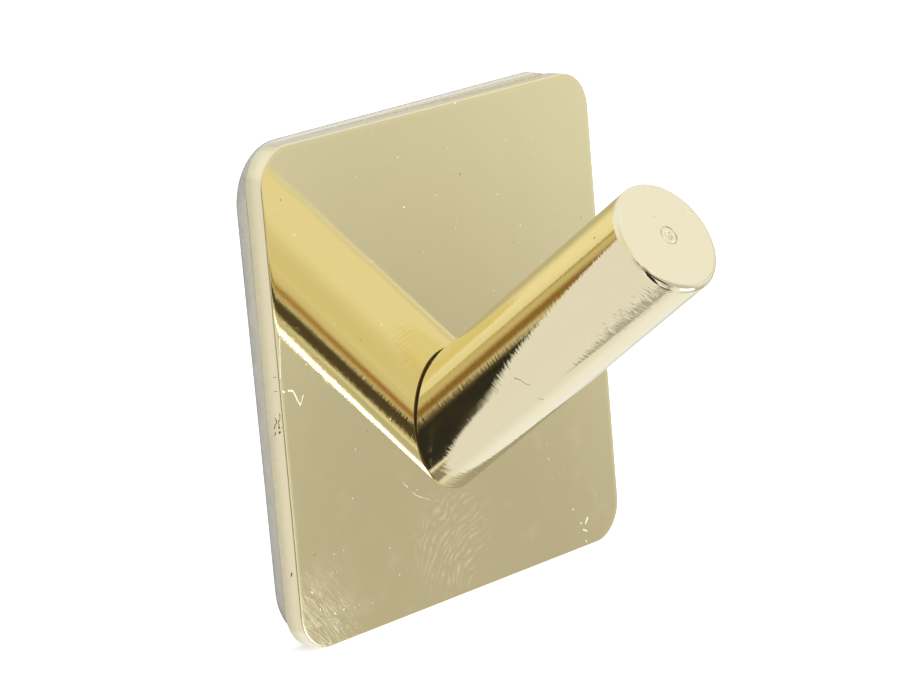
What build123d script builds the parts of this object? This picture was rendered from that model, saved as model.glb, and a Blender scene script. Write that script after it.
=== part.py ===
from build123d import *
import os
from math import cos, radians, sin, tan

# An adhesive hook: a square polished plate with a round bar that leans up and out of it, on a foam pad.
# Millimetres. The origin is the middle of the face that goes on the wall. +Y points into the wall,
# +X to the right as the hook is seen, and +Z up.

# plate
plate_width = 50.0
plate_height = 50.0
plate_thickness = 2.1
plate_corner_radius = 4.0
plate_edge_radius = 0.15

# foam pad and its liner
pad_inset = 0.05
pad_rise = 0.3
pad_turn = 0.5
pad_thickness = 1.2
pad_corner_radius = 6.0
liner_thickness = 0.1

# peg
peg_diameter = 12.0
peg_length = 35.6
peg_slope = 35.0
peg_root_drop = 6.7
peg_rim_radius = 0.6
peg_root_edge = 0.2

# the turned mark in the middle of the peg's end face
mark_diameter = 1.9
mark_depth = 0.04
pip_diameter = 0.8
pip_depth = 0.06

# countersunk socket screw
screw_diameter = 3.0
screw_length = 8.0
screw_head_diameter = 5.5
screw_tip_chamfer = 0.4
socket_across_flats = 2.0
socket_depth = 1.0
head_sink = 0.1
screw_clearance = 0.2
thread_clearance = 0.02
tip_clearance = 1.0
drill_point_angle = 118.0

# places, from the wall outwards
pad_back_y = -liner_thickness
plate_back_y = pad_back_y - pad_thickness
plate_front_y = plate_back_y - plate_thickness
peg_root_z = -peg_root_drop
screw_back_y = plate_back_y - head_sink
screw_in_peg = screw_length + head_sink - plate_thickness
# half way in, the screw is on the leaning bar's own axis
screw_z = peg_root_z + screw_in_peg / 2 * tan(radians(peg_slope))
screw_cone_depth = (screw_head_diameter - screw_diameter) / 2


def facing_out(x, y, z):
    """A plane parallel to the wall, whose normal points away from it, with its own y up."""
    return Plane(origin=(x, y, z), x_dir=(1, 0, 0), z_dir=(0, -1, 0))


def rounded_slab(width, height, corner_radius, thickness, back_y):
    """A square slab with round corners, from back_y out towards the room."""
    outline = facing_out(0, back_y, 0) * RectangleRounded(width, height, corner_radius)
    return extrude(outline, thickness)


def disc(diameter, height, plane):
    """A cylinder that stands on a plane."""
    return extrude(plane * Circle(diameter / 2), height)


def cone(bottom_radius, top_radius, height, plane):
    """A cone or its frustum that stands on a plane."""
    return plane * Cone(bottom_radius, top_radius, height, align=(Align.CENTER, Align.CENTER, Align.MIN))


def front_edges(solid, y):
    """The edges of a slab that lie in the plane of its front face."""
    return solid.edges().filter_by(lambda edge: abs(edge.center().Y - y) < 1e-4)


def base_plate():
    """The plate: its front edge is softly rounded, and the screw's countersunk hole is open at its back."""
    plate = rounded_slab(plate_width, plate_height, plate_corner_radius, plate_thickness, plate_back_y)
    plate = fillet(front_edges(plate, plate_front_y), plate_edge_radius)
    hole_radius = screw_diameter / 2 + screw_clearance
    # the head's 45 degree cone, carried on to the back of the plate, so that the head seats just below it
    mouth_radius = screw_head_diameter / 2 + head_sink
    back = facing_out(0, plate_back_y, screw_z)
    plate -= disc(2 * hole_radius, plate_thickness, back)
    return plate - cone(mouth_radius, hole_radius, mouth_radius - hole_radius, back)


def peg_axis_plane(distance=0.0):
    """The plane across the peg at a distance from its root centre along its axis, facing the peg's tip."""
    lean = radians(peg_slope)
    along = (0, -cos(lean), sin(lean))
    origin = Vector(0, plate_front_y, peg_root_z) + Vector(*along) * distance
    return Plane(origin=origin, x_dir=(1, 0, 0), z_dir=along)


def peg():
    """The turned bar: cut at a slant to sit flat on the plate, and tapped there for the screw."""
    # the bar starts far enough back that the slanting cut takes all of its blank end off
    blank = peg_diameter / 2 * tan(radians(peg_slope)) + 1
    bar = disc(peg_diameter, blank + peg_length, peg_axis_plane(-blank))
    tip = peg_axis_plane(peg_length)
    rim = bar.edges().filter_by(GeomType.CIRCLE).sort_by_distance(tip.origin)[0]
    bar = fillet(rim, peg_rim_radius)
    bar -= disc(mark_diameter, mark_depth, peg_axis_plane(peg_length - mark_depth))
    bar -= disc(pip_diameter, mark_depth + pip_depth, peg_axis_plane(peg_length - mark_depth - pip_depth))
    # everything behind the plate's front face goes
    behind = facing_out(0, plate_front_y + 4 * peg_diameter, peg_root_z)
    bar -= extrude(behind * Rectangle(4 * peg_diameter, 4 * peg_diameter), 4 * peg_diameter)
    seat = front_edges(bar, plate_front_y)
    bar = chamfer(seat, peg_root_edge)
    return bar - tapped_hole()


def tapped_hole():
    """The blind hole in the peg's root, square to the plate, with a drill point at its bottom."""
    radius = screw_diameter / 2 + thread_clearance
    depth = screw_in_peg + tip_clearance
    hole = disc(2 * radius, depth, facing_out(0, plate_front_y, screw_z))
    point = radius / tan(radians(drill_point_angle / 2))
    return hole + cone(radius, 0, point, facing_out(0, plate_front_y - depth, screw_z))


def fixing_screw():
    """The countersunk screw, with a hexagon socket in its head."""
    back = facing_out(0, screw_back_y, screw_z)
    head_radius = screw_head_diameter / 2
    shank_radius = screw_diameter / 2
    screw = cone(head_radius, shank_radius, screw_cone_depth, back)
    screw += disc(screw_diameter, screw_length, back)
    tip_y = screw_back_y - screw_length
    screw = chamfer(front_edges(screw, tip_y), screw_tip_chamfer)
    # a regular polygon is given by its corners, so the width across its flats is turned into that radius
    socket = RegularPolygon(socket_across_flats / 2 / cos(radians(30)), 6)
    return screw - extrude(back * socket, socket_depth)


def pad_layer(thickness, back_y):
    """A layer cut to the pad's outline: it is stuck on slightly high and a touch askew."""
    width = plate_width - 2 * pad_inset
    height = plate_height - 2 * pad_inset
    layer = rounded_slab(width, height, pad_corner_radius, thickness, back_y)
    return Pos(0, 0, pad_rise) * Rot(0, -pad_turn, 0) * layer


def adhesive_pad():
    """The foam pad: a little smaller than the plate, with rounder corners."""
    return pad_layer(pad_thickness, pad_back_y)


def release_liner():
    """The film over the pad's back, cut with the pad to one outline. It is peeled off at the wall."""
    return pad_layer(liner_thickness, 0)


def main():
    os.makedirs("parts", exist_ok=True)
    for make in (base_plate, peg, fixing_screw, adhesive_pad, release_liner):
        solid = make()
        if isinstance(solid, Part) and len(solid.solids()) == 1:
            solid = solid.solids()[0]
        export_step(solid, f"parts/{make.__name__}.step")


main()
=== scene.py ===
import math
from collections import namedtuple

import bpy
from bpy.props import FloatProperty, FloatVectorProperty, IntProperty, PointerProperty
from mathutils import Matrix, Vector, noise


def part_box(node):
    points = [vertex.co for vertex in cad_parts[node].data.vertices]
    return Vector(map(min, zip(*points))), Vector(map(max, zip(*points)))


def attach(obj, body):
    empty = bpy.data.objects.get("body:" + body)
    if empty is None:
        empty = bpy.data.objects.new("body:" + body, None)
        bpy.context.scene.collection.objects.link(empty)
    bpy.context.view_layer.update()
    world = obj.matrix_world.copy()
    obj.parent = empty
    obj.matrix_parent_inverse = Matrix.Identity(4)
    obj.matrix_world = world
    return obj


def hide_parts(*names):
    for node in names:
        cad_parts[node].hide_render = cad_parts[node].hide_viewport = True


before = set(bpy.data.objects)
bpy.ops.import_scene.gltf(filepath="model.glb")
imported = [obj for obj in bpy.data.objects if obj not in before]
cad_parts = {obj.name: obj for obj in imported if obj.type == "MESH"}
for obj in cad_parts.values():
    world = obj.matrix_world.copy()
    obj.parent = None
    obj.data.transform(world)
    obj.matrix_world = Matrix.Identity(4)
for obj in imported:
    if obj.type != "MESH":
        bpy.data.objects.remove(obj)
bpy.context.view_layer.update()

# An adhesive hook: a polished, pale gold bar that leans out of a square plate on a foam pad.
# Metres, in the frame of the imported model: +Y goes into the wall, +X right and +Z up.

bl_info = {
    "name": "Adhesive Hook",
    "version": (1, 0, 0),
    "blender": (4, 5, 0),
    "location": "3D View > Sidebar > Hook",
    "description": "Dresses the adhesive hook: polished plate and peg, foam pad, liner, screw and studio",
    "category": "Object",
}

MM = 0.001
BODY = "root"

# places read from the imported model
plate_low, plate_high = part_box("base_plate")
pad_low, pad_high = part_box("adhesive_pad")
liner_low, liner_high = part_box("release_liner")
screw_low, screw_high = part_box("fixing_screw")
SCREW_Z = (screw_low.z + screw_high.z) / 2


# Sizes and colours that a user would change

def length(name, description, default):
    """A size in metres, shown in the scene's own unit."""
    return FloatProperty(name=name, description=description, default=default, min=0, unit="LENGTH",
                         precision=5)


def point(name, description, default):
    """A place in metres."""
    return FloatVectorProperty(name=name, description=description, default=default, size=3, subtype="XYZ",
                               unit="LENGTH")


def angle(name, description, degrees):
    """An angle, given in degrees and kept in radians."""
    return FloatProperty(name=name, description=description, default=math.radians(degrees), subtype="ANGLE")


def colour(name, description, default):
    """A colour as it is written in the shader."""
    return FloatVectorProperty(name=name, description=description, default=default, size=3, min=0, max=1,
                               subtype="COLOR")


def steps(name, description, default, least):
    """How many facets a form is made of."""
    return IntProperty(name=name, description=description, default=default, min=least)


class PlateSettings(bpy.types.PropertyGroup):
    corner_radius: length("Corner radius", "Radius of the plate's four corners", 4 * MM)
    edge_radius: length("Edge radius", "Radius of the polished front edge", 0.15 * MM)
    roll_width: length("Roll width", "How far the polishing rolls the face off inside the edge", 0.6 * MM)
    roll_tilt: angle("Roll tilt", "How far the rolled off face leans where the edge starts", 1.5)
    back_bevel: length("Back bevel", "Broken edge at the plate's back", 0.06 * MM)
    hole_radius: length("Hole radius", "Radius of the clearance hole for the screw", 1.7 * MM)
    mouth_radius: length("Countersink radius", "Radius of the countersink's mouth at the back", 2.85 * MM)
    corner_steps: steps("Corner steps", "Facets round one corner", 20, 4)
    side_steps: steps("Side steps", "Facets along one side", 16, 2)


class PegSettings(bpy.types.PropertyGroup):
    diameter: length("Diameter", "Diameter of the bar", 12 * MM)
    axis_length: length("Length", "Root centre to end face, along the bar", 35.6 * MM)
    slope: angle("Slope", "How far the bar leans up from square to the plate", 35)
    root_drop: length("Root drop", "Root centre below the middle of the plate", 6.7 * MM)
    rim_radius: length("Rim radius", "Radius of the rim round the end face", 0.6 * MM)
    rim_lead: length("Rim lead", "How far before the rim its polish starts", 0.45 * MM)
    rim_lean: angle("Rim lean", "How far the polish leans the surface where the rim starts", 18)
    root_edge: length("Root edge", "Width of the broken edge at the root", 0.2 * MM)
    mark_radius: length("Mark radius", "Radius of the turned mark in the end face", 0.95 * MM)
    mark_depth: length("Mark depth", "Depth of the turned mark", 0.04 * MM)
    pip_radius: length("Pip radius", "Radius of the pip in the middle of the mark", 0.4 * MM)
    pip_depth: length("Pip depth", "Depth of the pip below the mark", 0.06 * MM)
    groove: length("Groove", "Width of the wall of each turned groove", 0.06 * MM)
    hole_radius: length("Hole radius", "Radius of the tapped hole in the root", 1.52 * MM)
    hole_depth: length("Hole depth", "Depth of the tapped hole", 7 * MM)
    facets: steps("Facets", "Facets once round the bar", 224, 24)


class PadSettings(bpy.types.PropertyGroup):
    width: length("Width", "Width and height of the pad and the liner", 49.9 * MM)
    turn: angle("Turn", "How far askew the pad is stuck on, seen from the front", 0.5)
    corner_radius: length("Corner radius", "Radius of the pad's and the liner's corners", 6 * MM)
    bulge: length("Bulge", "How far the foam's cut edge swells at half its thickness", 0.05 * MM)
    roughness: length("Edge roughness", "How far the foam's cut edge wanders in and out", 0.035 * MM)
    liner_roughness: length("Liner roughness", "How far the liner's cut edge wanders in and out", 0.02 * MM)
    grain: length("Grain", "Size of the waves in a cut edge", 0.35 * MM)
    side_steps: steps("Side steps", "Facets along one side", 110, 8)
    corner_steps: steps("Corner steps", "Facets round one corner", 26, 4)
    layers: steps("Layers", "Facets through the foam's thickness", 10, 3)
    liner_layers: steps("Liner layers", "Facets through the liner's thickness", 2, 1)


class FinishSettings(bpy.types.PropertyGroup):
    plate_gold: colour("Plate gold", "The plate's polished metal, seen square on", (0.90, 0.80, 0.455))
    peg_gold: colour("Peg gold", "The peg's polished metal, seen square on", (0.90, 0.81, 0.55))
    # the tone of a painted dark reflection, drawn as dark strokes on the peg's underside near its tip
    worn: colour("Worn", "The metal where fine strokes cross it", (0.30, 0.27, 0.17))
    foam: colour("Foam", "Closed-cell foam", (0.55, 0.535, 0.475))
    film: colour("Film", "Release liner", (0.45, 0.45, 0.44))
    steel: colour("Steel", "Screw", (0.62, 0.62, 0.62))
    dust: colour("Dust", "Lint and dust on the metal", (0.80, 0.76, 0.62))
    # also the colour of the painted shade in the peg's root seam and in its mark's grooves
    dirt: colour("Dirt", "Dark dirt in nicks and seams", (0.10, 0.065, 0.03))


class StudioSettings(bpy.types.PropertyGroup):
    azimuth: angle("Azimuth", "Camera direction, 0 in front and 90 on the right", -48.66)
    elevation: angle("Elevation", "Camera direction above the horizon", 11.806)
    roll: angle("Roll", "How far the camera is turned about its own axis", 4.835)
    distance: length("Distance", "Camera to the point that it aims at", 419.08 * MM)
    aim: point("Aim", "The point in the middle of the picture", (0.667 * MM, -3.835 * MM, 1.02 * MM))
    lens: FloatProperty(name="Lens", description="Focal length in millimetres on a 36 mm sensor",
                        default=164.288)
    floor_size: length("Floor size", "Side of the square floor", 6.0)
    fill_level: FloatProperty(name="Fill level", description="The room's light on matt surfaces",
                              default=0.73)
    lamp_power: FloatProperty(name="Lamp power", description="Overhead soft lamp, in watts", default=1.5)
    lamp_place: point("Lamp place", "The lamp's middle, measured from the hook", (0.12, -0.18, 0.7))
    lamp_size: length("Lamp size", "Side of the square lamp", 0.5)


# Meshes made of rings

# before and after are the normals that a ring's points have towards the previous and the next ring
Ring = namedtuple("Ring", "points before after")
FLAT = math.radians(90)
# the side of the cone that a 118 degree drill leaves, measured from its axis
DRILL_POINT = math.radians(59)


def add_object(name, data):
    """A new object in the scene."""
    made = bpy.data.objects.new(name, data)
    bpy.context.scene.collection.objects.link(made)
    return made


def skin(name, rings, closed=False, tip=None, caps=()):
    """A mesh over rings that all have as many points, with the rings' own normals.

    closed joins the last ring to the first, tip closes the last ring to one point, and caps names the
    ends, "first" or "last", that get a flat face."""
    count = len(rings[0].points)
    last = (len(rings) - 1) * count
    vertices = [place for ring in rings for place in ring.points]
    faces = []
    for i in range(len(rings) if closed else len(rings) - 1):
        k = (i + 1) % len(rings)
        here, there = rings[i], rings[k]
        for j in range(count):
            m = (j + 1) % count
            faces.append([(i * count + j, here.after[j]), (k * count + j, there.before[j]),
                          (k * count + m, there.before[m]), (i * count + m, here.after[m])])
    if tip is not None:
        vertices.append(tip)
        for j in range(count):
            m = (j + 1) % count
            middle = (rings[-1].after[j] + rings[-1].after[m]).normalized()
            faces.append([(last + j, rings[-1].after[j]), (len(vertices) - 1, middle),
                          (last + m, rings[-1].after[m])])
    if "first" in caps:
        faces.append([(j, rings[0].before[j]) for j in range(count)])
    if "last" in caps:
        faces.append([(last + j, rings[-1].after[j]) for j in reversed(range(count))])
    if enclosed_volume(vertices, faces) < 0:
        faces = [face[::-1] for face in faces]
    mesh = bpy.data.meshes.new(name)
    mesh.from_pydata(vertices, [], [[index for index, normal in face] for face in faces])
    mesh.polygons.foreach_set("use_smooth", [True] * len(mesh.polygons))
    mesh.normals_split_custom_set([normal for face in faces for index, normal in face])
    return add_object(name, mesh)


def enclosed_volume(vertices, faces):
    """The signed volume inside a closed mesh, to tell which way its faces point."""
    total = 0.0
    for face in faces:
        corners = [vertices[index] for index, normal in face]
        for b, c in zip(corners[1:-1], corners[2:]):
            total += corners[0].dot(b.cross(c)) / 6
    return total


def rounded_square(half_x, half_z, radius, corner_steps, side_steps):
    """Once round a square with round corners: (x, z) points and their outward directions.

    The steps are the same for any size, so that rings of different sizes match point for point."""
    places = []
    corners = [(1, 1, 0), (-1, 1, 90), (-1, -1, 180), (1, -1, 270)]
    for k, (sx, sz, start) in enumerate(corners):
        centre = Vector((sx * (half_x - radius), sz * (half_z - radius)))
        for step in range(corner_steps + 1):
            turn = math.radians(start + 90 * step / corner_steps)
            out = Vector((math.cos(turn), math.sin(turn)))
            places.append((centre + radius * out, out))
        next_x, next_z, next_start = corners[(k + 1) % 4]
        next_out = Vector((math.cos(math.radians(next_start)), math.sin(math.radians(next_start))))
        next_centre = Vector((next_x * (half_x - radius), next_z * (half_z - radius)))
        begin, end = places[-1][0], next_centre + radius * next_out
        for step in range(1, side_steps):
            places.append((begin.lerp(end, step / side_steps), next_out))
    return places


def make_piece(made, material, replaced):
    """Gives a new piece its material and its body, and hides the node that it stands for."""
    made.data.materials.append(material)
    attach(made, BODY)
    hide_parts(replaced)


def plate_outline(settings, inset, y, tilt_before, tilt_after):
    """One ring of the plate: its outline moved in by inset, at y. The tilts turn its normals from sideways
    to the front."""
    half_x = (plate_high.x - plate_low.x) / 2 - inset
    half_z = (plate_high.z - plate_low.z) / 2 - inset
    places = rounded_square(half_x, half_z, settings.corner_radius - inset, settings.corner_steps,
                            settings.side_steps)

    def normals(tilt):
        side, front = math.cos(tilt), math.sin(tilt)
        return [Vector((out.x * side, -front, out.y * side)) for place, out in places]

    points = [Vector((place.x, y, place.y)) for place, out in places]
    return Ring(points, normals(tilt_before), normals(tilt_after))


def hole_ring(outline, radius, y, before, after):
    """A circle round the screw's line whose points face those of the outline. before and after are
    (sideways, along Y) parts of the normals."""
    outs = [Vector((place.x, 0, place.z - SCREW_Z)).normalized() for place in outline]

    def normals(parts):
        return [(out * parts[0] + Vector((0, parts[1], 0))).normalized() for out in outs]

    points = [Vector((radius * out.x, y, SCREW_Z + radius * out.z)) for out in outs]
    return Ring(points, normals(before), normals(after))


def plate_rings(settings):
    """The plate's surface from the front of its hole, out over the face, round the edge and back in."""
    front, back = plate_low.y, plate_high.y
    edge, roll, roll_tilt = settings.edge_radius, settings.roll_width, settings.roll_tilt
    # the polished face rolls off a little before the edge's own radius starts, more and more towards it
    roll_steps = 12
    rings = [plate_outline(settings, edge + roll, front, FLAT, FLAT)]
    for step in range(1, roll_steps + 1):
        share = step / roll_steps
        tilt = FLAT - roll_tilt * share ** 2
        rise = roll * math.tan(roll_tilt) / 3 * share ** 3
        rings.append(plate_outline(settings, edge + roll * (1 - share), front + rise, tilt, tilt))
    edge_steps = 9
    start = FLAT - roll_tilt
    for step in range(1, edge_steps + 1):
        tilt = start * (1 - step / edge_steps)
        inset = edge * (1 - math.cos(tilt)) / (1 - math.cos(start))
        y = front + rise + (edge - rise) * (math.sin(start) - math.sin(tilt)) / math.sin(start)
        rings.append(plate_outline(settings, inset, y, tilt, tilt))
    bevel, bevel_tilt = settings.back_bevel, -FLAT / 2
    rings.append(plate_outline(settings, 0, back - bevel, 0, bevel_tilt))
    rings.append(plate_outline(settings, bevel, back, bevel_tilt, -FLAT))
    outline = rings[0].points
    cone_depth = settings.mouth_radius - settings.hole_radius
    rings.append(hole_ring(outline, settings.mouth_radius, back, (0, 1), (-1, 1)))
    rings.append(hole_ring(outline, settings.hole_radius, back - cone_depth, (-1, 1), (-1, 0)))
    rings.append(hole_ring(outline, settings.hole_radius, front, (-1, 0), (0, -1)))
    return rings


def peg_frame(settings):
    """The bar's root centre, and the directions along it, to its right and up its back."""
    along = Vector((0, -math.cos(settings.slope), math.sin(settings.slope)))
    right = Vector((1, 0, 0))
    up = along.cross(right)
    root = Vector((0, plate_low.y, -settings.root_drop))
    return root, along, right, up


def peg_outs(settings):
    """The angles once round the bar, and the directions out of it there."""
    root, along, right, up = peg_frame(settings)
    angles = [math.tau * j / settings.facets for j in range(settings.facets)]
    return angles, [right * math.cos(a) + up * math.sin(a) for a in angles]


def lathe(settings, distance, across, before, after):
    """A ring square to the bar. before and after are (outward, along) parts of its normals."""
    root, along, right, up = peg_frame(settings)
    angles, outs = peg_outs(settings)

    def normals(parts):
        return [(out * parts[0] + along * parts[1]).normalized() for out in outs]

    centre = root + along * distance
    return Ring([centre + out * across for out in outs], normals(before), normals(after))


def root_rings(settings):
    """The tapped hole, the slanting cut that lies flat on the plate, and the cut's broken edge."""
    root, along, right, up = peg_frame(settings)
    radius, slope, edge = settings.diameter / 2, settings.slope, settings.root_edge
    angles, outs = peg_outs(settings)
    # the cut is an ellipse, taller than the bar is wide
    seat, start = [], []
    for a, out in zip(angles, outs):
        seat.append(Vector(((radius - edge) * math.cos(a), plate_low.y,
                            root.z + (radius / math.cos(slope) - edge) * math.sin(a))))
        start.append(root + out * radius + along * (radius * math.sin(a) * math.tan(slope) + edge))
    back = Vector((0, 1, 0))
    broken = [(out + back).normalized() for out in outs]
    cone = (-math.cos(DRILL_POINT), math.sin(DRILL_POINT))
    bottom_y = plate_low.y - settings.hole_depth
    return [hole_ring(seat, settings.hole_radius, bottom_y, cone, (-1, 0)),
            hole_ring(seat, settings.hole_radius, plate_low.y, (-1, 0), (0, 1)),
            Ring(seat, [back] * len(seat), broken), Ring(start, broken, outs)]


def rim_rings(settings):
    """The rounded rim. The polish leans the surface a little before the rim's own radius starts."""
    radius, rim, lean = settings.diameter / 2, settings.rim_radius, settings.rim_lean
    straight = settings.axis_length - rim
    rings = [lathe(settings, straight - settings.rim_lead, radius, (1, 0), (1, 0))]
    rim_steps = 14
    for step in range(rim_steps + 1):
        share = step / rim_steps
        tilt = lean + (FLAT - lean) * share
        normal = (math.cos(tilt), math.sin(tilt))
        distance, inset = rim * math.sin(FLAT * share), rim * (1 - math.cos(FLAT * share))
        rings.append(lathe(settings, straight + distance, radius - inset, normal, normal))
    return rings


def mark_rings(settings):
    """The turned mark in the end face, from its edge to its middle."""
    wall, mark, pip = settings.groove, settings.mark_radius, settings.pip_radius
    floor, bottom = settings.mark_depth, settings.mark_depth + settings.pip_depth
    # (radius, depth) places joined by flat walls; the mark's outer groove is deeper than its floor
    groove = 1.5 * floor
    profile = [(settings.diameter / 2 - settings.rim_radius, 0), (mark + wall, 0), (mark, groove),
               (mark - wall, floor), (pip + wall, floor), (pip, bottom), (pip - wall, bottom),
               (0.2 * pip, 0.8 * bottom)]
    slopes = [(outer_depth - inner_depth, outer - inner)
              for (outer, outer_depth), (inner, inner_depth) in zip(profile, profile[1:])]
    slopes.append((0, 1))
    return [lathe(settings, settings.axis_length - depth, across, before, after)
            for (across, depth), before, after in zip(profile[1:], slopes, slopes[1:])]


def peg_rings(settings):
    """The bar's surface from the bottom of its tapped hole, over the root and up the bar to its end face."""
    return root_rings(settings) + rim_rings(settings) + mark_rings(settings)


def drill_point(settings):
    """The bottom of the tapped hole, where the drill's point ended."""
    depth = settings.hole_radius / math.tan(DRILL_POINT)
    return Vector((0, plate_low.y - settings.hole_depth - depth, SCREW_Z))


def pad_rings(settings, low, high, swell, wander, layers):
    """A slab cut from a sheet, between low and high, with an edge that swells and wanders."""
    half = settings.width / 2
    middle_z = (high.z + low.z) / 2
    askew = Matrix.Rotation(settings.turn, 2)
    rings = []
    for layer in range(layers + 1):
        share = layer / layers
        y = low.y + (high.y - low.y) * share
        out_by = swell * (math.sin(math.pi * share) - 1)
        places = rounded_square(half + out_by, half + out_by, settings.corner_radius + out_by,
                                settings.corner_steps, settings.side_steps)
        tilt = -swell * math.pi * math.cos(math.pi * share) / (high.y - low.y)
        points, normals = [], []
        for place, out in places:
            place, out = askew @ place, askew @ out
            centre = Vector((place.x, y, place.y + middle_z))
            shift = wander * (noise.noise(centre / settings.grain) - 1) / 2
            points.append(centre + Vector((out.x, 0, out.y)) * shift)
            normals.append(Vector((out.x, tilt, out.y)).normalized())
        rings.append(Ring(points, normals, normals))
    front, back = ([Vector((0, y, 0))] * len(points) for y in (-1, 1))
    rings[0] = Ring(rings[0].points, front, rings[0].after)
    rings[-1] = Ring(rings[-1].points, rings[-1].before, back)
    return rings


# Node trees

ORIGIN = (0, 0, 0)
# the inputs of each shader node group, with their defaults, and the groups made so far
group_inputs = {}
made_groups = {}


class Nodes:
    """Adds nodes to a tree and hands back their outputs."""

    def __init__(self, tree):
        self.tree = tree

    def add(self, kind, feeds=None, **settings):
        node = self.tree.nodes.new(kind)
        for name, value in settings.items():
            setattr(node, name, value)
        for name, value in (feeds or {}).items():
            self.feed(node.inputs[name], value)
        return node

    def feed(self, socket, value):
        if isinstance(value, bpy.types.NodeSocket):
            self.tree.links.new(value, socket)
        elif socket.type == "RGBA" and len(value) == 3:
            socket.default_value = (*value, 1)
        else:
            socket.default_value = value

    def math(self, operation, *values, clamp=False):
        node = self.add("ShaderNodeMath", dict(enumerate(values)), operation=operation, use_clamp=clamp)
        return node.outputs[0]

    def chain(self, operation, values):
        """One operation over a whole list of values, from its first to its last."""
        found = values[0]
        for value in values[1:]:
            found = self.math(operation, found, value)
        return found

    def plus(self, *values):
        return self.chain("ADD", values)

    def minus(self, *values):
        return self.chain("SUBTRACT", values)

    def times(self, *values):
        return self.chain("MULTIPLY", values)

    def over(self, *values):
        return self.chain("DIVIDE", values)

    def most(self, *values):
        return self.chain("MAXIMUM", values)

    def size(self, value):
        """How large a value is, without its sign."""
        return self.math("ABSOLUTE", value)

    def vector(self, operation, *values, output=0):
        node = self.add("ShaderNodeVectorMath", dict(enumerate(values)), operation=operation)
        return node.outputs[output]

    def length(self, vector):
        return self.vector("LENGTH", vector, output=1)

    def dot(self, first, second):
        return self.vector("DOT_PRODUCT", first, second, output=1)

    def scaled(self, vector, factor):
        node = self.add("ShaderNodeVectorMath", {0: vector, "Scale": factor}, operation="SCALE")
        return node.outputs[0]

    def split(self, vector):
        """A vector's three parts."""
        return self.add("ShaderNodeSeparateXYZ", {0: vector}).outputs

    def join(self, *parts):
        """A vector of two or three parts."""
        return self.add("ShaderNodeCombineXYZ", dict(enumerate(parts))).outputs[0]

    def ramp(self, value, low, high, to_low=0.0, to_high=1.0):
        """value taken smoothly from low..high to to_low..to_high."""
        node = self.add("ShaderNodeMapRange", {"Value": value, "From Min": low, "From Max": high,
                                               "To Min": to_low, "To Max": to_high},
                        interpolation_type="SMOOTHSTEP")
        return node.outputs[0]

    def mix(self, share, first, second):
        """A colour between two others."""
        node = self.add("ShaderNodeMix", {0: share}, data_type="RGBA")
        self.feed(node.inputs[6], first)
        self.feed(node.inputs[7], second)
        return node.outputs[2]

    def noise(self, position, scale, detail=2.0, roughness=0.5, distortion=0.0, output=0):
        node = self.add("ShaderNodeTexNoise", {"Vector": position, "Scale": scale, "Detail": detail,
                                               "Roughness": roughness, "Distortion": distortion})
        return node.outputs[output]

    def drift(self, position, scale, detail):
        """A vector that wanders from place to place, with parts of about -0.5 to 0.5."""
        return self.vector("SUBTRACT", self.noise(position, scale, detail, output="Color"), (0.5, 0.5, 0.5))

    def relief(self, shader, height, strength, distance):
        """Gives a shader a height."""
        node = self.add("ShaderNodeBump", {"Strength": strength, "Distance": distance, "Height": height})
        self.feed(shader.inputs["Normal"], node.outputs[0])

    def group(self, make, **values):
        """Places the shader node group that make describes, and hands back its output."""
        if make not in made_groups:
            made_groups[make] = build_group(make)
        node = self.add("ShaderNodeGroup", node_tree=made_groups[make])
        for name, value in values.items():
            self.feed(node.inputs[name.replace("_", " ")], value)
        return node.outputs[0]

    def millimetres(self):
        """The place on the piece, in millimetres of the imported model's frame."""
        return self.scaled(self.add("ShaderNodeTexCoord").outputs["Object"], 1 / MM)


def shader_group(**inputs):
    """Makes a function describe a shader node group. Each input is given with its default, which is three
    numbers for a vector, and _ stands for a space in its name. The function gets the group's nodes and its
    inputs in that order, and returns its output."""
    def keep(make):
        group_inputs[make] = inputs
        return make
    return keep


def build_group(make):
    """The shader node group that a function describes, under the function's name."""
    group = bpy.data.node_groups.new(make.__name__.replace("_", " ").capitalize(), "ShaderNodeTree")
    inputs = group_inputs[make]
    for name, default in inputs.items():
        kind = "NodeSocketVector" if isinstance(default, tuple) else "NodeSocketFloat"
        socket = group.interface.new_socket(name.replace("_", " "), in_out="INPUT", socket_type=kind)
        socket.default_value = default
    group.interface.new_socket("Result", in_out="OUTPUT", socket_type="NodeSocketFloat")
    n = Nodes(group)
    given = list(n.add("NodeGroupInput").outputs)[:len(inputs)]
    n.add("NodeGroupOutput", {0: make(n, *given)})
    return group


@shader_group(Position=ORIGIN, Turn=0.0, Length=4.0, Width=0.05, Share=0.2)
def fine_scratches(n, position, turn, length, width, share):
    """Short fine scratches that all run roughly one way."""
    bent = n.vector("ADD", position, n.scaled(n.noise(position, 0.15, output="Color"), 2.0))
    turned = n.add("ShaderNodeVectorRotate", {"Vector": bent, "Angle": turn}, rotation_type="Y_AXIS")
    x, y, z = n.split(turned.outputs[0])
    grain = n.noise(n.join(n.over(x, length), n.over(y, 8.0), n.over(z, width)), 1.0, detail=0.0)
    level = n.minus(0.78, n.times(share, 0.3))
    return n.ramp(grain, level, n.plus(level, 0.06))


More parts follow.
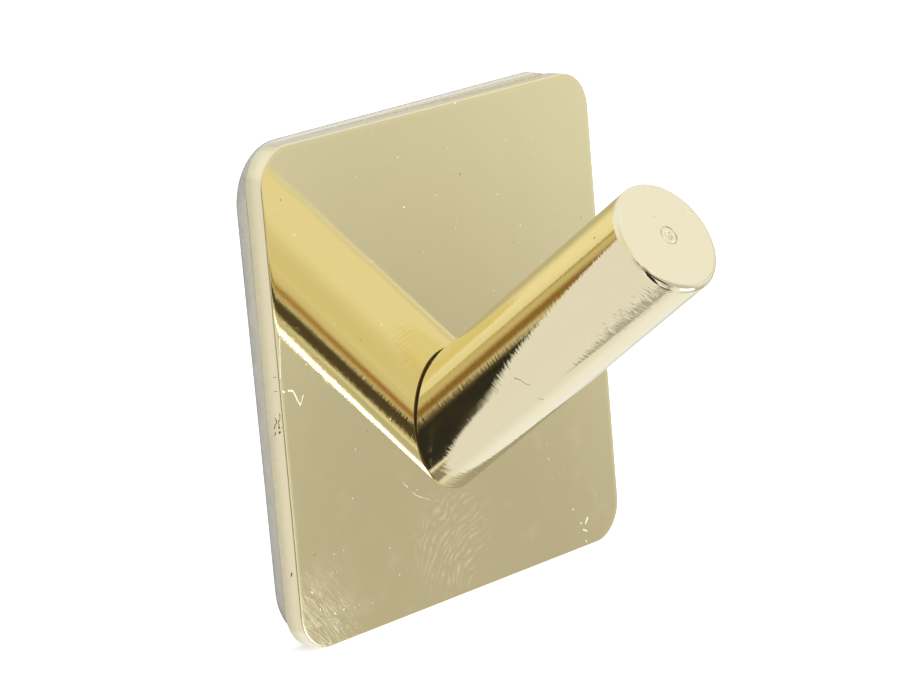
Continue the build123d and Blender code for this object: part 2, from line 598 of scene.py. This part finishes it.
@shader_group(Position=ORIGIN, Spacing=3.0, Size=0.1, Share=0.4)
def dust_specks(n, position, spacing, size, share):
    """Separate specks of uneven size, over a flat or unrolled surface."""
    cells = n.add("ShaderNodeTexVoronoi", {"Vector": position, "Scale": n.over(1.0, spacing)},
                  voronoi_dimensions="2D", feature="F1")
    chance = n.add("ShaderNodeSeparateColor", {0: cells.outputs["Color"]}).outputs
    radius = n.times(size, n.math("POWER", chance[0], 1.3))
    reach = n.times(cells.outputs["Distance"], spacing)
    ragged = n.math("MULTIPLY_ADD", n.noise(position, 9.0, detail=1.0), 0.08, reach)
    speck = n.math("LESS_THAN", n.minus(ragged, 0.04), radius)
    return n.times(speck, n.math("LESS_THAN", chance[1], share))


@shader_group(Position=ORIGIN, Start=ORIGIN, End=(1, 0, 0), Width=0.1, Wobble=0.1)
def single_mark(n, position, start, end, width, wobble):
    """One scratch, hair or stain between two places, with wobbly edges."""
    place = n.vector("ADD", position, n.scaled(n.drift(position, 1.6, 3.0), wobble))
    span = n.vector("SUBTRACT", end, start)
    away = n.vector("SUBTRACT", place, start)
    share = n.math("DIVIDE", n.dot(away, span), n.dot(span, span), clamp=True)
    reach = n.length(n.vector("SUBTRACT", away, n.scaled(span, share)))
    return n.ramp(reach, width, n.times(width, 0.45))


@shader_group(Along=0.0, Round=0.0)
def polishing_strokes(n, along, around):
    """The fine strokes that polishing left round the bar, as a height over its unrolled surface."""
    place = n.join(along, n.times(around, 0.08))
    return n.math("MULTIPLY_ADD", n.noise(place, 9.0, detail=1.0), 0.5, n.noise(place, 3.2, detail=1.0))


@shader_group(Along=0.0, Round=0.0, Line=-13.2, Tip=35.0)
def dark_reflection_strokes(n, along, around, line, tip):
    """Painted dark reflection on the bar: dark strokes across it that crowd round one line along it and thin
    out towards its root.
    """
    away = n.minus(around, line)
    spread = n.ramp(along, n.minus(tip, 19.0), n.minus(tip, 4.0), 0.08, 1.0)
    # the strokes reach three times as far to one side of the line
    reach = n.times(spread, n.math("MULTIPLY_ADD", n.math("LESS_THAN", away, 0.0), 1.6, 0.8))
    close = n.math("SUBTRACT", 1.0, n.over(n.size(away), reach), clamp=True)
    grain = n.noise(n.join(along, n.times(around, 0.10)), 8.5, roughness=0.7)
    level = n.minus(0.68, n.times(close, 0.30))
    strokes = n.times(n.ramp(grain, level, n.plus(level, 0.05)), n.ramp(close, 0.0, 0.15),
                      n.ramp(spread, 0.1, 0.3))
    thread = n.times(n.ramp(n.size(away), 0.09, 0.03), n.ramp(spread, 0.45, 0.9), 0.8)
    return n.most(strokes, thread)


@shader_group(Position=ORIGIN, Middle=ORIGIN, Size=5.0, Ridge=0.5)
def finger_print(n, position, middle, size, ridge):
    """A greasy print: ridges in arcs, inside a soft-edged oval."""
    away = n.vector("SUBTRACT", position, middle)
    oval = n.ramp(n.length(away), size, n.times(size, 0.4))
    # the middle of the arcs lies outside the print
    arcs = n.vector("ADD", n.vector("ADD", away, (-7.0, 9.0, 0.0)), n.scaled(n.drift(away, 0.25, 1.0), 3.0))
    ridges = n.math("SINE", n.times(n.over(n.length(arcs), ridge), math.tau))
    broken = n.noise(position, 0.9, detail=3.0, roughness=0.6)
    return n.times(oval, n.ramp(ridges, -0.3, 0.9), n.ramp(broken, 0.38, 0.6))


@shader_group(Azimuth=0.0, Elevation=0.0, Middle_azimuth=0.0, Middle_elevation=0.0, Half_width=10.0,
              Half_height=10.0, Turn=0.0, Softness=0.2, Squareness=2.0)
def room_patch(n, azimuth, elevation, middle_azimuth, middle_elevation, half_width, half_height, turn,
               softness, squareness):
    """One patch of the room, by direction: 1 inside a soft-edged oblong, 0 outside."""
    across = n.minus(azimuth, middle_azimuth)
    above = n.minus(elevation, middle_elevation)
    turn = n.math("RADIANS", turn)
    cosine, sine = n.math("COSINE", turn), n.math("SINE", turn)
    x = n.over(n.plus(n.times(across, cosine), n.times(above, sine)), half_width)
    y = n.over(n.minus(n.times(above, cosine), n.times(across, sine)), half_height)
    x, y = [n.math("POWER", n.size(part), squareness) for part in (x, y)]
    reach = n.math("POWER", n.plus(x, y), n.over(1.0, squareness))
    return n.ramp(reach, n.plus(1.0, softness), n.minus(1.0, softness))


def new_material(name):
    """An empty material with its Principled shader: (material, nodes, shader)."""
    material = bpy.data.materials.new(name)
    material.use_nodes = True
    material.node_tree.nodes.clear()
    n = Nodes(material.node_tree)
    shader = n.add("ShaderNodeBsdfPrincipled")
    n.add("ShaderNodeOutputMaterial", {"Surface": shader.outputs[0]})
    return material, n, shader


def shaded(tone, share):
    """A darker tone of a colour."""
    return tuple(share * part for part in tone)


# Marks on the metal: start, end, width and wobble, in millimetres on the surface
Mark = namedtuple("Mark", "start end width wobble")

PLATE_DIRT = [
    Mark((3.92, 17.5), (3.94, 17.6), 0.10, 0.1),
    Mark((-21.9, -21.35), (-23.25, -22.35), 0.03, 0.15),
]
SIDE_DIRT = [
    Mark((-3.0, -0.6), (-2.9, -2.6), 0.16, 1.2),
    Mark((-2.5, -1.0), (-2.2, -3.0), 0.12, 1.2),
    Mark((-2.7, -16.6), (-2.6, -16.9), 0.12, 0.2),
    Mark((-3.1, 3.0), (-2.7, 2.9), 0.04, 0.1),
    Mark((-3.0, 1.6), (-2.6, 1.5), 0.04, 0.1),
]
PLATE_DUST_AND_HIGHLIGHT = [
    Mark((-24.6, 1.5), (-24.4, 1.4), 0.12, 0.1),
    Mark((-23.8, 1.45), (-23.2, 1.25), 0.11, 0.2),
    Mark((-23.2, 1.25), (-22.8, 0.5), 0.11, 0.2),
    Mark((-22.8, 0.5), (-22.37, -0.35), 0.10, 0.2),
    Mark((-22.37, -0.35), (-21.8, 0.5), 0.08, 0.2),
    # a painted highlight along the rolled left edge, drawn in the dust's colour
    Mark((-24.35, 6.7), (-24.75, 2.9), 0.07, 0.2),
    Mark((2.5, 12.2), (2.9, 13.0), 0.03, 0.2),
    Mark((-8.9, -11.1), (-6.9, -13.1), 0.035, 0.3),
    Mark((-6.9, -13.1), (-4.7, -14.2), 0.035, 0.3),
    Mark((-23.2, -18.9), (-23.1, -19.0), 0.10, 0.1),
    Mark((-22.2, -20.9), (-22.2, -21.0), 0.09, 0.1),
    Mark((-20.2, -21.9), (-20.1, -21.9), 0.08, 0.1),
    Mark((-18.9, -21.8), (-18.8, -21.8), 0.09, 0.1),
    Mark((19.7, -22.0), (19.3, -22.6), 0.10, 0.3),
    Mark((18.5, -22.3), (18.6, -22.4), 0.10, 0.1),
    Mark((18.9, -23.1), (19.4, -23.4), 0.10, 0.3),
    Mark((19.1, -24.4), (19.2, -24.5), 0.09, 0.1),
]
PEG_DIRT = [
    Mark((14.35, -16.5), (14.75, -15.9), 0.045, 0.3),
    Mark((14.75, -15.9), (14.75, -15.2), 0.04, 0.3),
    Mark((14.75, -15.2), (14.95, -14.9), 0.05, 0.3),
    Mark((13.9, -13.1), (13.93, -12.5), 0.045, 0.2),
    Mark((31.6, 15.37), (31.75, 15.4), 0.08, 0.1),
]
END_DIRT = [
    Mark((4.68, 1.85), (4.85, 1.45), 0.045, 0.1),
    Mark((-0.49, 2.2), (-0.48, 2.22), 0.07, 0.05),
    Mark((1.3, -1.8), (2.9, -2.75), 0.014, 0.3),
]
END_DUST = [
    Mark((4.56, 1.85), (4.72, 1.45), 0.06, 0.1),
    Mark((0.1, -0.75), (0.12, -0.74), 0.12, 0.05),
]


# The turned mark's grooves, as (radius in millimetres, strength of their painted shade)
MARK_CIRCLES = ((0.95, 0.75), (0.42, 0.5), (0.12, 0.5))


def draw_marks(n, position, marks):
    """All of a list of marks as one mask."""
    return n.most(*[n.group(single_mark, Position=position, Start=(*mark.start, 0), End=(*mark.end, 0),
                            Width=mark.width, Wobble=mark.wobble) for mark in marks])


def speckle(n, position, spacing, size, share, shift=ORIGIN):
    """Specks of dust. The shift makes one layer of them unlike another."""
    return n.group(dust_specks, Position=n.vector("ADD", position, shift), Spacing=spacing, Size=size,
                   Share=share)


def finish_metal(n, shader, finish, gold, dust, dirt, rough, height):
    """Joins a metal's effects to its shader. Dust and dirt, and the painted shade and painted highlight drawn
    with them, aren't metal, so they take its metallic away.
    """
    matt = n.most(dust, dirt)
    tint = n.mix(dust, gold, finish.dust)
    n.feed(shader.inputs["Base Color"], n.mix(dirt, tint, finish.dirt))
    n.feed(shader.inputs["Metallic"], n.math("SUBTRACT", 1.0, matt, clamp=True))
    n.feed(shader.inputs["Roughness"], n.most(rough, n.times(matt, 0.6)))
    n.relief(shader, height, 1.0, MM)


def face_dust_and_highlight(n, place, flat):
    """What lies on the plate's face: specks, lint, a finger print, haze, and scuffs at the lower left, with
    one painted highlight along its left edge.
    """
    print_middle, scuff_middle = (-2.0, -19.0, 0), (-22.5, -22.0, 0)
    lint = speckle(n, flat, 4.5, 0.11, 0.25, shift=(9, 3, 0))
    smear = n.group(finger_print, Position=flat, Middle=print_middle, Size=8.0, Ridge=0.75)
    scuffed = n.ramp(n.length(n.vector("SUBTRACT", flat, scuff_middle)), 8.5, 2.0)
    scuffs = n.group(fine_scratches, Position=place, Turn=-0.9, Length=1.6, Width=0.035, Share=0.62)
    grit = speckle(n, flat, 0.7, 0.07, 0.3, shift=(50, 60, 0))
    haze = n.times(n.ramp(n.noise(flat, 0.3, detail=5.0, roughness=0.65), 0.52, 0.75),
                   n.ramp(n.split(place)[2], 2.0, -20.0, 0.02, 0.07))
    return n.most(speckle(n, flat, 1.6, 0.08, 0.11), lint, n.times(n.ramp(scuffed, 0.1, 0.6), grit),
                  n.times(smear, 0.17), n.times(scuffed, scuffs, 0.28), haze, draw_marks(n, flat, PLATE_DUST_AND_HIGHLIGHT))


def plate_material(finish):
    """Mirror polished pale gold, with dust on its face, cut side faces and dirt on the left one."""
    material, n, shader = new_material("polished_plate")
    place = n.millimetres()
    x, y, z = n.split(place)
    flat = n.join(x, z)
    left, front = plate_low.x / MM, plate_low.y / MM
    back, top = plate_high.y / MM, plate_high.z / MM
    on_side = n.ramp(y, front + 0.02, front + 0.15)
    on_face = n.minus(1.0, on_side)
    # dust on the face, with one painted highlight along the left edge
    dust = n.times(on_face, face_dust_and_highlight(n, place, flat))
    on_left = n.times(on_side, n.math("LESS_THAN", x, left + 5.0))
    dirt = n.most(n.times(on_face, speckle(n, flat, 5.0, 0.08, 0.2, shift=(37, 11, 0))),
                  draw_marks(n, flat, PLATE_DIRT), n.times(on_left, draw_marks(n, n.join(y, z), SIDE_DIRT)))
    # the cut side faces are less bright towards the back, and only a little along the top
    cut = n.times(n.ramp(y, front + 0.5, back), n.ramp(n.noise(place, 1.5, detail=4.0), 0.2, 0.7, 0.7, 1.0),
                  n.ramp(z, top - 0.2, top - 1.5, 0.3, 1.0))
    bare = n.mix(cut, finish.peg_gold, shaded(finish.peg_gold, 0.74))
    metal = n.mix(on_side, finish.plate_gold, bare)
    # the rounded front edge is less polished than the face
    on_edge = n.times(n.ramp(y, front + 0.01, front + 0.03), n.ramp(y, front + 0.2, front + 0.12))
    smears = n.ramp(n.noise(place, 0.22, detail=4.0, distortion=0.8), 0.55, 0.75)
    rough = n.plus(n.times(smears, 0.03), 0.03, n.times(on_side, 0.12), n.times(on_edge, 0.25))
    pits, waves = n.noise(place, 6.0), n.noise(place, 0.12, detail=1.0)
    height = n.plus(n.times(pits, 0.0015), n.times(waves, 0.012))
    finish_metal(n, shader, finish, metal, dust, dirt, rough, height)
    return material


def peg_material(finish, settings):
    """The same metal, turned: fine strokes round the bar, a few hairs, a painted dark reflection along its
    underside near the tip, and painted shade in its root's seam and in the mark's grooves.
    """
    material, n, shader = new_material("polished_peg")
    root, along, right, up = peg_frame(settings)
    place = n.millimetres()
    away = n.vector("SUBTRACT", place, tuple(root / MM))
    distance, across, above = [n.dot(away, tuple(axis)) for axis in (along, right, up)]
    radius, tip = settings.diameter / 2 / MM, settings.axis_length / MM
    around = n.times(n.math("ARCTAN2", above, across), radius)
    unrolled, end = n.join(distance, around), n.join(across, above)
    on_end = n.ramp(distance, tip - 0.45, tip - 0.15)
    on_bar = n.minus(1.0, on_end)
    dust = n.most(speckle(n, unrolled, 2.6, 0.07, 0.15), n.times(on_end, draw_marks(n, end, END_DUST)))
    # painted shade in the mark's grooves, darker in some places than in others
    middle = n.length(end)
    groove_shade = [n.times(strength, n.ramp(n.size(n.minus(middle, circle)), 0.12, 0.04))
               for circle, strength in MARK_CIRCLES]
    uneven = n.ramp(n.noise(end, 1.1, detail=1.0), 0.4, 0.6, 0.25, 1.0)
    # painted shade in the open seam at the root, widest at its upper left
    toward = n.math("DIVIDE", n.dot(away, (-0.87, 0.0, 0.5)), radius, clamp=True)
    reach = n.math("MULTIPLY_ADD", n.math("POWER", toward, 3.0), 0.22, 0.04)
    painted_seam_shade = n.ramp(n.plus(n.split(away)[1], reach), -0.04, 0.04)
    dirt = n.most(n.times(on_bar, draw_marks(n, unrolled, PEG_DIRT)), painted_seam_shade,
                  n.times(on_end, draw_marks(n, end, END_DIRT)), n.times(on_end, uneven, n.most(*groove_shade)))
    # painted dark reflection: dark strokes round one line on the bar's underside, thinning towards the root
    painted_dark_reflection = n.group(dark_reflection_strokes, Along=distance, Round=around, Tip=tip - 0.6)
    metal = n.mix(n.times(painted_dark_reflection, on_bar, 0.7), finish.peg_gold, finish.worn)
    rough = n.math("MULTIPLY_ADD", n.noise(place, 0.8, detail=3.0), 0.03, 0.03)
    # the strokes are a little deeper near the root
    depth = n.ramp(distance, 6.0, 28.0, 0.0085, 0.0065)
    height = n.times(n.group(polishing_strokes, Along=distance, Round=around), depth, on_bar)
    finish_metal(n, shader, finish, metal, dust, dirt, rough, height)
    return material


def foam_material(finish):
    """Closed-cell foam: small uneven cells, cut open at the edge."""
    material, n, shader = new_material("pad_foam")
    place = n.millimetres()
    cells = n.add("ShaderNodeTexVoronoi", {"Vector": place, "Scale": 7.0}, feature="F1")
    cloud = n.noise(place, 0.7, detail=4.0)
    pores = n.ramp(cells.outputs["Distance"], 0.1, 0.5)
    shade = n.mix(n.times(n.minus(1.0, pores), 0.4), finish.foam, shaded(finish.foam, 0.6))
    shade = n.mix(n.ramp(cloud, 0.35, 0.7), shade, shaded(finish.foam, 0.86))
    # painted warm light, as bounced off the gold plate, makes the foam warmer next to it
    red, green, blue = finish.foam
    painted_plate_bounce = n.ramp(n.split(place)[1], pad_high.y / MM, pad_low.y / MM)
    n.feed(shader.inputs["Base Color"], n.mix(painted_plate_bounce, shade, (red, 0.97 * green, 0.9 * blue)))
    n.feed(shader.inputs["Roughness"], n.ramp(cloud, 0.2, 0.8, 0.8, 0.95))
    n.relief(shader, pores, 0.6, 0.05 * MM)
    return material


def film_material(finish):
    """The liner: thin waxed film with faint creases."""
    material, n, shader = new_material("liner_film")
    place = n.millimetres()
    creases = n.noise(place, 0.09, detail=3.0, distortion=1.5)
    fine = n.noise(place, 1.3, detail=3.0)
    n.feed(shader.inputs["Base Color"], n.mix(n.ramp(fine, 0.3, 0.7), finish.film, shaded(finish.film, 0.88)))
    n.feed(shader.inputs["Roughness"], n.ramp(creases, 0.3, 0.7, 0.38, 0.5))
    n.relief(shader, creases, 0.4, 0.3 * MM)
    return material


def steel_material(finish):
    """Plain steel for the screw."""
    material, n, shader = new_material("screw_steel")
    streaks = n.noise(n.millimetres(), 6.0, detail=3.0)
    n.feed(shader.inputs["Base Color"], n.mix(streaks, finish.steel, shaded(finish.steel, 0.8)))
    shader.inputs["Metallic"].default_value = 1.0
    n.feed(shader.inputs["Roughness"], n.ramp(streaks, 0.2, 0.8, 0.25, 0.4))
    return material


# The room, by direction: azimuth 0 is in front of the hook and 90 on its right, elevation from the horizon.
# Later patches lie over earlier ones.
Patch = namedtuple("Patch", "name azimuth elevation half_width half_height turn softness squareness colour")

ROOM = [
    Patch("left wall", -126, -30, 34, 49, 0, 0.13, 3, (0.84, 0.84, 0.85)),
    Patch("left corner", -85, 34, 30, 30, 0, 0.85, 2, (0.81, 0.79, 0.71)),
    Patch("ceiling in front", 15, 76, 70, 14, 0, 0.5, 2, (0.96, 1.02, 1.15)),
    Patch("right wall", 98, -14, 24, 20, 0, 0.25, 3, (0.52, 0.52, 0.50)),
    Patch("left shade", -84, -16, 10, 18, 0, 0.5, 2, (0.66, 0.67, 0.66)),
    Patch("back wall", 158, 18, 28, 22, 0, 0.4, 3, (0.80, 0.79, 0.75)),
    Patch("right back wall", 136, 10, 26, 16, 0, 0.3, 3, (0.68, 0.68, 0.70)),
    Patch("behind the hook", 131, -12, 6, 6, 0, 0.4, 2, (0.52, 0.50, 0.42)),
    Patch("front band", 7, -4, 69.4, 13.5, 15, 0.47, 4, (0.61, 0.61, 0.63)),
    Patch("front right", 60, 9, 16, 12, 0, 0.4, 2, (0.88, 0.92, 0.98)),
    Patch("front lamp", -2.7, 18.5, 18.5, 4.3, 0, 0.32, 2, (1.02, 1.06, 1.15)),
    Patch("front left grey", -26.5, 8, 8.5, 6.2, 0, 0.3, 2, (0.68, 0.64, 0.52)),
    Patch("dark rod", -22.5, 13.2, 1.1, 3.0, -25, 0.5, 2, (0.38, 0.31, 0.16)),
    Patch("front floor", -9.4, -31.4, 19.7, 7.9, 0, 0.34, 2, (0.60, 0.62, 0.72)),
    Patch("floor strip", -18.5, -27.6, 4.5, 4, 0, 0.4, 2, (0.9, 0.92, 0.9)),
    Patch("grey ahead", 48.3, -16, 4, 7.4, 7, 0.6, 2, (0.54, 0.52, 0.52)),
    Patch("dark below", -28, -80, 55, 8.5, 0, 0.3, 3, (0.30, 0.28, 0.26)),
    Patch("bright table", 31.6, -24.8, 13.6, 5.6, 24, 0.15, 3, (6.5, 6.75, 7.7)),
    Patch("right floor", 60.7, -40, 9.6, 32.4, 3, 0.47, 2, (0.43, 0.44, 0.48)),
    Patch("left grey", -66, 12.3, 7.1, 7, 0, 0.5, 2, (0.77, 0.75, 0.68)),
    Patch("tan", -60.4, -0.2, 14.7, 7.3, 0, 0.64, 2, (0.56, 0.46, 0.33)),
    Patch("brown line", -59.5, 1.5, 9, 4, 40, 0.7, 2, (0.40, 0.26, 0.12)),
    Patch("brown block", -37.2, 0.7, 6.5, 7.5, 0, 0.6, 2, (0.30, 0.19, 0.08)),
    Patch("dark block", -53, -25, 10.3, 18.6, 16, 0.11, 2, (0.03, 0.03, 0.035)),
    Patch("dark bar", -25.8, -15.1, 24.4, 10.1, -5, 0.10, 2, (0.09, 0.075, 0.06)),
    Patch("dark base", -62, -47, 12, 21, -9, 0.1, 3, (0.03, 0.03, 0.035)),
]


def build_world(settings):
    """The metal sees a room by direction. Matt surfaces get a plain fill, and the camera a white ground."""
    world = bpy.data.worlds.new("studio")
    bpy.context.scene.world = world
    world.use_nodes = True
    world.cycles.sampling_method = "NONE"
    n = Nodes(world.node_tree)
    world.node_tree.nodes.clear()
    direction = n.add("ShaderNodeTexCoord").outputs["Generated"]
    x, y, z = n.split(direction)
    azimuth = n.math("DEGREES", n.math("ARCTAN2", x, n.times(y, -1.0)))
    elevation = n.math("DEGREES", n.math("ARCSINE", z))
    seen = n.mix(n.ramp(elevation, -86.0, -62.0), (0.83, 0.84, 0.84), (0.95, 0.975, 1.015))
    for patch in ROOM:
        mask = n.group(room_patch, Azimuth=azimuth, Elevation=elevation, Middle_azimuth=patch.azimuth,
                       Middle_elevation=patch.elevation, Half_width=patch.half_width,
                       Half_height=patch.half_height, Turn=patch.turn, Softness=patch.softness,
                       Squareness=patch.squareness)
        mask.node.label = patch.name
        seen = n.mix(mask, seen, patch.colour)

    def background(tone, strength):
        return n.add("ShaderNodeBackground", {"Color": tone, "Strength": strength}).outputs[0]

    def choose(ray, otherwise, chosen):
        share = n.add("ShaderNodeLightPath").outputs[ray]
        return n.add("ShaderNodeMixShader", {0: share, 1: otherwise, 2: chosen}).outputs[0]

    white = (1, 1, 1)
    # matt surfaces that face the front and the right get more light
    facing = n.dot(direction, (0.5, -0.8, 0.3))
    fill = n.times(n.ramp(facing, -0.8, 0.9, 0.2, 2.6), settings.fill_level)
    lit = choose("Is Glossy Ray", background(white, fill), background(seen, 1.0))
    shown = choose("Is Camera Ray", lit, background(white, 1.0))
    n.add("ShaderNodeOutputWorld", {"Surface": shown})


def floor_material():
    """Pale matt floor. A little of its own white brings it up to a white ground for the camera."""
    material, n, shader = new_material("pale_floor")
    shader.inputs["Roughness"].default_value = 0.9
    shader.inputs["Specular IOR Level"].default_value = 0.0
    shader.inputs["Emission Color"].default_value = (1, 1, 1, 1)
    place = n.add("ShaderNodeTexCoord").outputs["Object"]
    n.feed(shader.inputs["Base Color"], n.mix(n.noise(place, 40.0), (0.80, 0.80, 0.80), (0.82, 0.82, 0.82)))
    path = n.add("ShaderNodeLightPath").outputs
    n.feed(shader.inputs["Emission Strength"], n.times(path["Is Camera Ray"], 0.5))
    return material


def build_floor(settings):
    """The pale floor that the hook stands on."""
    half = settings.floor_size / 2
    corners = [(-half, -half), (half, -half), (half, half), (-half, half)]
    mesh = bpy.data.meshes.new("floor")
    mesh.from_pydata([(x, y, plate_low.z) for x, y in corners], [], [(0, 1, 2, 3)])
    mesh.materials.append(floor_material())
    floor = add_object("floor", mesh)
    floor.visible_glossy = False


def build_lamp(settings):
    """One large soft lamp overhead. The metal shows the room and not the lamp."""
    data = bpy.data.lights.new("overhead", "AREA")
    data.energy = settings.lamp_power
    data.size = settings.lamp_size
    lamp = add_object("overhead", data)
    lamp.location = settings.lamp_place
    lamp.rotation_mode = "QUATERNION"
    lamp.rotation_quaternion = (-Vector(settings.lamp_place)).to_track_quat("-Z", "Y")
    lamp.visible_glossy = False
    lamp.visible_camera = False


def build_camera(settings):
    """The photograph's viewpoint."""
    a, e, roll = settings.azimuth, settings.elevation, settings.roll
    back = Vector((math.sin(a) * math.cos(e), -math.cos(a) * math.cos(e), math.sin(e)))
    level_right = Vector((math.cos(a), math.sin(a), 0))
    level_up = back.cross(level_right)
    up = level_up * math.cos(roll) + level_right * math.sin(roll)
    right = up.cross(back)
    data = bpy.data.cameras.new("camera")
    data.lens = settings.lens
    data.sensor_width = 36
    data.clip_start, data.clip_end = 0.01, 20
    camera = add_object("camera", data)
    camera.matrix_world = Matrix.Translation(Vector(settings.aim) + back * settings.distance) @ \
        Matrix((right, up, back)).transposed().to_4x4()
    bpy.context.scene.camera = camera


class HOOK_OT_plate(bpy.types.Operator):
    """Make the polished plate"""
    bl_idname = "hook.plate"
    bl_label = "Plate"

    def execute(self, context):
        made = skin("polished_base_plate", plate_rings(context.scene.hook_plate), closed=True)
        make_piece(made, plate_material(context.scene.hook_finish), "base_plate")
        return {"FINISHED"}


class HOOK_OT_peg(bpy.types.Operator):
    """Make the turned and polished peg"""
    bl_idname = "hook.peg"
    bl_label = "Peg"

    def execute(self, context):
        settings = context.scene.hook_peg
        rings = [Ring(ring.points, ring.after, ring.before) for ring in reversed(peg_rings(settings))]
        made = skin("polished_peg", rings, tip=drill_point(settings), caps=("first",))
        make_piece(made, peg_material(context.scene.hook_finish, settings), "peg")
        return {"FINISHED"}


class HOOK_OT_pad(bpy.types.Operator):
    """Make the foam pad and its liner"""
    bl_idname = "hook.pad"
    bl_label = "Pad and liner"

    def execute(self, context):
        settings = context.scene.hook_pad
        finish = context.scene.hook_finish
        ends = ("first", "last")
        pad = skin("foam_pad", pad_rings(settings, pad_low, pad_high, settings.bulge, settings.roughness,
                                         settings.layers), caps=ends)
        make_piece(pad, foam_material(finish), "adhesive_pad")
        # the film is too thin to swell
        liner = skin("liner", pad_rings(settings, liner_low, liner_high, 0.0, settings.liner_roughness,
                                        settings.liner_layers), caps=ends)
        make_piece(liner, film_material(finish), "release_liner")
        return {"FINISHED"}


class HOOK_OT_screw(bpy.types.Operator):
    """Give the fixing screw its steel"""
    bl_idname = "hook.screw"
    bl_label = "Screw"

    def execute(self, context):
        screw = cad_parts["fixing_screw"]
        screw.data.materials.clear()
        screw.data.materials.append(steel_material(context.scene.hook_finish))
        return {"FINISHED"}


class HOOK_OT_studio(bpy.types.Operator):
    """Make the floor, the lamp, the room and the camera"""
    bl_idname = "hook.studio"
    bl_label = "Studio"

    def execute(self, context):
        for build in (build_floor, build_lamp, build_world, build_camera):
            build(context.scene.hook_studio)
        context.scene.view_settings.view_transform = "Standard"
        return {"FINISHED"}


class HOOK_PT_panel(bpy.types.Panel):
    """The hook's pieces and settings"""
    bl_idname = "HOOK_PT_panel"
    bl_label = "Adhesive Hook"
    bl_space_type = "VIEW_3D"
    bl_region_type = "UI"
    bl_category = "Hook"

    def draw(self, context):
        for maker in MAKERS:
            self.layout.operator(maker.bl_idname)
        for name, group in SETTINGS.items():
            box = self.layout.box()
            box.label(text=group.__name__.removesuffix("Settings"))
            for field in group.__annotations__:
                box.prop(getattr(context.scene, name), field)


# in the order in which the scene is built
MAKERS = [HOOK_OT_studio, HOOK_OT_plate, HOOK_OT_peg, HOOK_OT_pad, HOOK_OT_screw]
SETTINGS = {
    "hook_plate": PlateSettings,
    "hook_peg": PegSettings,
    "hook_pad": PadSettings,
    "hook_finish": FinishSettings,
    "hook_studio": StudioSettings,
}


def register():
    for made in (*SETTINGS.values(), *MAKERS, HOOK_PT_panel):
        bpy.utils.register_class(made)
    for name, group in SETTINGS.items():
        setattr(bpy.types.Scene, name, PointerProperty(type=group))


def unregister():
    for name in SETTINGS:
        delattr(bpy.types.Scene, name)
    for made in (HOOK_PT_panel, *reversed(MAKERS), *reversed(SETTINGS.values())):
        bpy.utils.unregister_class(made)


def main():
    """Dresses the hook."""
    register()
    for maker in MAKERS:
        made = getattr(bpy.ops.hook, maker.bl_idname.split(".")[1])()
        if "FINISHED" not in made:
            raise RuntimeError(f"{maker.bl_label} wasn't made")


if __name__ == "__main__":
    main()
